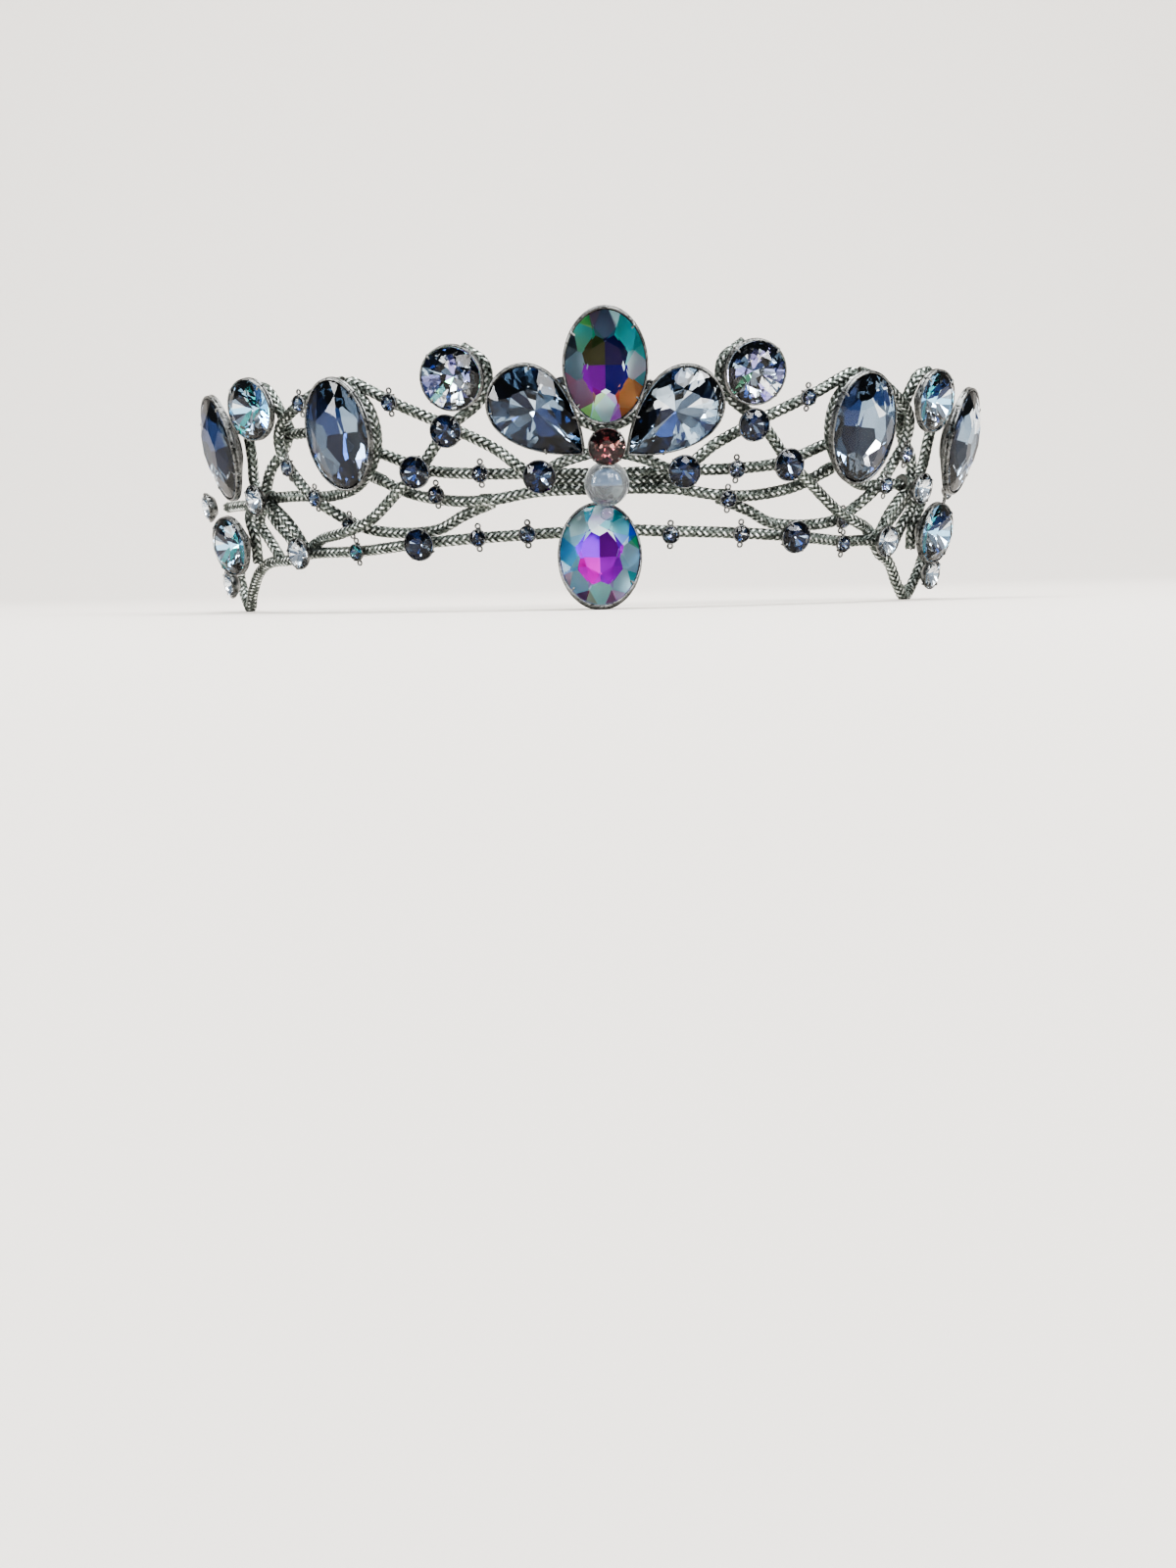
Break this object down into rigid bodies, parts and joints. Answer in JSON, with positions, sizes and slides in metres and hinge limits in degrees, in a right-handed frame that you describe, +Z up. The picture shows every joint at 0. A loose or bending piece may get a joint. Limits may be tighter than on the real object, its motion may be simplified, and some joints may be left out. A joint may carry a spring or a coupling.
{
  "type": "ballet tiara",
  "caption": "Pointed lace tiara of silver braid over wire, curved round the brow, with faceted crystals in open-backed settings and a loop at each end.",
  "frame": {"origin": "middle of the footprint, on the table", "axes": "+Z up, -Y towards the front of the tiara, +X to the right as its front is looked at"},
  "size_m": [0.1444, 0.0714, 0.0499],
  "materials": {
    "silver_braid": "metallic silver thread braided over wire, slightly dulled, with bright points",
    "dark_setting": "oxidised metal, dark and softly shiny",
    "ice_crystal": "foil-backed faceted crystal, pale grey blue with navy facets",
    "navy_crystal": "foil-backed faceted crystal, dark slate blue",
    "clear_crystal": "foil-backed faceted crystal, clear",
    "rainbow_crystal": "foil-backed faceted crystal with an iridescent rainbow coat",
    "rose_crystal": "faceted rose red crystal",
    "moonstone": "polished milky pale blue bead"
  },
  "bodies": {
    "root": {"frame_wire_left": "silver_braid", "frame_wire_right": "silver_braid", "curl_wire_left": "silver_braid", "curl_wire_right": "silver_braid", "middle_wire_left": "silver_braid", "middle_wire_right": "silver_braid", "lower_wire_left": "silver_braid", "lower_wire_right": "silver_braid", "cross_wire_left": "silver_braid", "cross_wire_right": "silver_braid", "rim_wire_left": "silver_braid", "rim_wire_right": "silver_braid", "fan_wire_left": "silver_braid", "fan_wire_right": "silver_braid", "centre_spine": "silver_braid", "crest_oval_stone": "rainbow_crystal", "crest_oval_setting": "dark_setting", "pear_left_stone": "ice_crystal", "pear_left_setting": "dark_setting", "pear_right_stone": "ice_crystal", "pear_right_setting": "dark_setting", "lower_oval_stone": "rainbow_crystal", "lower_oval_setting": "dark_setting", "rose_chaton": "rose_crystal", "moonstone_bead": "moonstone", "curl_round_stone_left": "ice_crystal", "curl_round_setting_left": "dark_setting", "curl_round_stone_right": "ice_crystal", "curl_round_setting_right": "dark_setting", "side_oval_stone_left": "ice_crystal", "side_oval_setting_left": "dark_setting", "side_oval_stone_right": "ice_crystal", "side_oval_setting_right": "dark_setting", "far_round_stone_left": "ice_crystal", "far_round_setting_left": "dark_setting", "far_round_stone_right": "ice_crystal", "far_round_setting_right": "dark_setting", "far_oval_stone_left": "ice_crystal", "far_oval_setting_left": "dark_setting", "far_oval_stone_right": "ice_crystal", "far_oval_setting_right": "dark_setting", "low_round_stone_left": "ice_crystal", "low_round_setting_left": "dark_setting", "low_round_stone_right": "ice_crystal", "low_round_setting_right": "dark_setting", "navy_chaton_1_left": "navy_crystal", "navy_chaton_1_right": "navy_crystal", "navy_chaton_2_left": "navy_crystal", "navy_chaton_2_right": "navy_crystal", "navy_chaton_3_left": "navy_crystal", "navy_chaton_3_right": "navy_crystal", "navy_chaton_4_left": "navy_crystal", "navy_chaton_4_right": "navy_crystal", "clear_chaton_1_left": "clear_crystal", "clear_chaton_1_right": "clear_crystal", "clear_chaton_2_left": "clear_crystal", "clear_chaton_2_right": "clear_crystal", "clear_chaton_3_left": "clear_crystal", "clear_chaton_3_right": "clear_crystal", "clear_chaton_4_left": "clear_crystal"}
  },
  "joints": []
}
